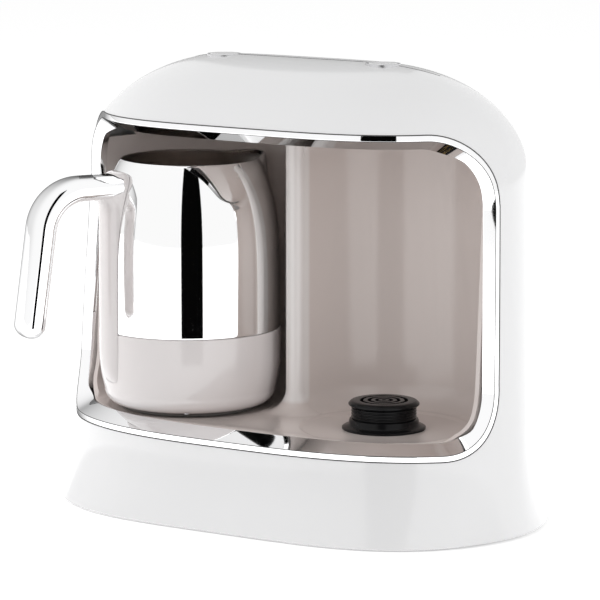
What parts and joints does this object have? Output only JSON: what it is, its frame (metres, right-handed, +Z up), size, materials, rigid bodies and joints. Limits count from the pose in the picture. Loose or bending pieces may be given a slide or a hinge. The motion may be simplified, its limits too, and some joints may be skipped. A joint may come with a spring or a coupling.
{
  "type": "electric coffee maker",
  "caption": "Twin electric coffee maker for Turkish coffee: a domed housing with side-by-side bays, cordless couplers, push buttons and a lift-off steel jug.",
  "frame": {"origin": "on the table, under the middle of the housing's foot, at the lowest point of the centre rubber foot", "axes": "+X to the right of someone facing the bays, +Y to the back of the housing, +Z up"},
  "size_m": [0.2664, 0.1828, 0.2309],
  "materials": {
    "housing_white": "high gloss",
    "base_plastic": "fine matt",
    "foot_rubber": "matt",
    "trim_chrome": "mirror",
    "liner_greige": "semi-gloss",
    "coupler_black": "satin",
    "contact_brass": "polished",
    "button_white": "gloss",
    "collar_chrome": "mirror",
    "spring_steel": "drawn wire",
    "board_green": "solder mask",
    "relay_case": "smooth",
    "transformer_tape": "tape over ferrite",
    "sink_aluminium": "extruded",
    "inner_black": "moulded",
    "screw_steel": "zinc plated",
    "gland_black": "matt",
    "cup_steel": "mirror polished steel",
    "seal_silicone": "translucent matt",
    "jug_pearl": "gloss",
    "cover_grey": "matt",
    "heater_aluminium": "cast",
    "element_steel": "oxidised sheath",
    "fuse_ceramic": "ceramic",
    "handle_chrome": "mirror"
  },
  "bodies": {
    "housing": {"front_shell": "housing_white", "rear_cover": "housing_white", "base_plate": "base_plastic", "rubber_feet": "foot_rubber", "trim_frame": "trim_chrome", "bay_liner": "liner_greige", "left_coupler": "coupler_black", "right_coupler": "coupler_black", "left_coupler_rings": "contact_brass", "right_coupler_rings": "contact_brass", "left_button_collar": "collar_chrome", "right_button_collar": "collar_chrome", "left_button_spring": "spring_steel", "right_button_spring": "spring_steel", "left_button_board": "board_green", "right_button_board": "board_green", "control_board": "board_green", "relays": "relay_case", "transformer": "transformer_tape", "heat_sink": "sink_aluminium", "buzzer": "inner_black", "board_screws": "screw_steel", "terminal_block": "base_plastic", "cord_gland": "gland_black", "base_screws": "screw_steel", "liner_screws": "screw_steel", "rear_screws": "screw_steel"},
    "jug": {"jug_cup": "cup_steel", "cup_seal": "seal_silicone", "jug_base_shell": "jug_pearl", "jug_base_cover": "cover_grey", "heater_plate": "heater_aluminium", "heating_element": "element_steel", "thermostat": "inner_black", "thermal_fuse": "fuse_ceramic", "jug_socket": "coupler_black", "socket_contacts": "contact_brass", "handle_body": "jug_pearl", "handle_cover": "handle_chrome", "handle_bracket": "element_steel", "handle_screws": "screw_steel", "jug_cover_screws": "screw_steel"},
    "left_button": {"left_button_cap": "button_white"},
    "right_button": {"right_button_cap": "button_white"}
  },
  "joints": [
    {"name": "jug_lift", "type": "slide", "parent": "housing", "child": "jug", "axis": [0, 0, 1], "range_m": [0, 0.015]},
    {"name": "left_button_press", "type": "slide", "parent": "housing", "child": "left_button", "axis": [0, 0, -1], "range_m": [0, 0.0016], "stiffness_N_per_m": 500, "springref_m": -0.0015, "deforming": ["left_button_spring"]},
    {"name": "right_button_press", "type": "slide", "parent": "housing", "child": "right_button", "axis": [0, 0, -1], "range_m": [0, 0.0016], "stiffness_N_per_m": 500, "springref_m": -0.0015, "deforming": ["right_button_spring"]}
  ]
}
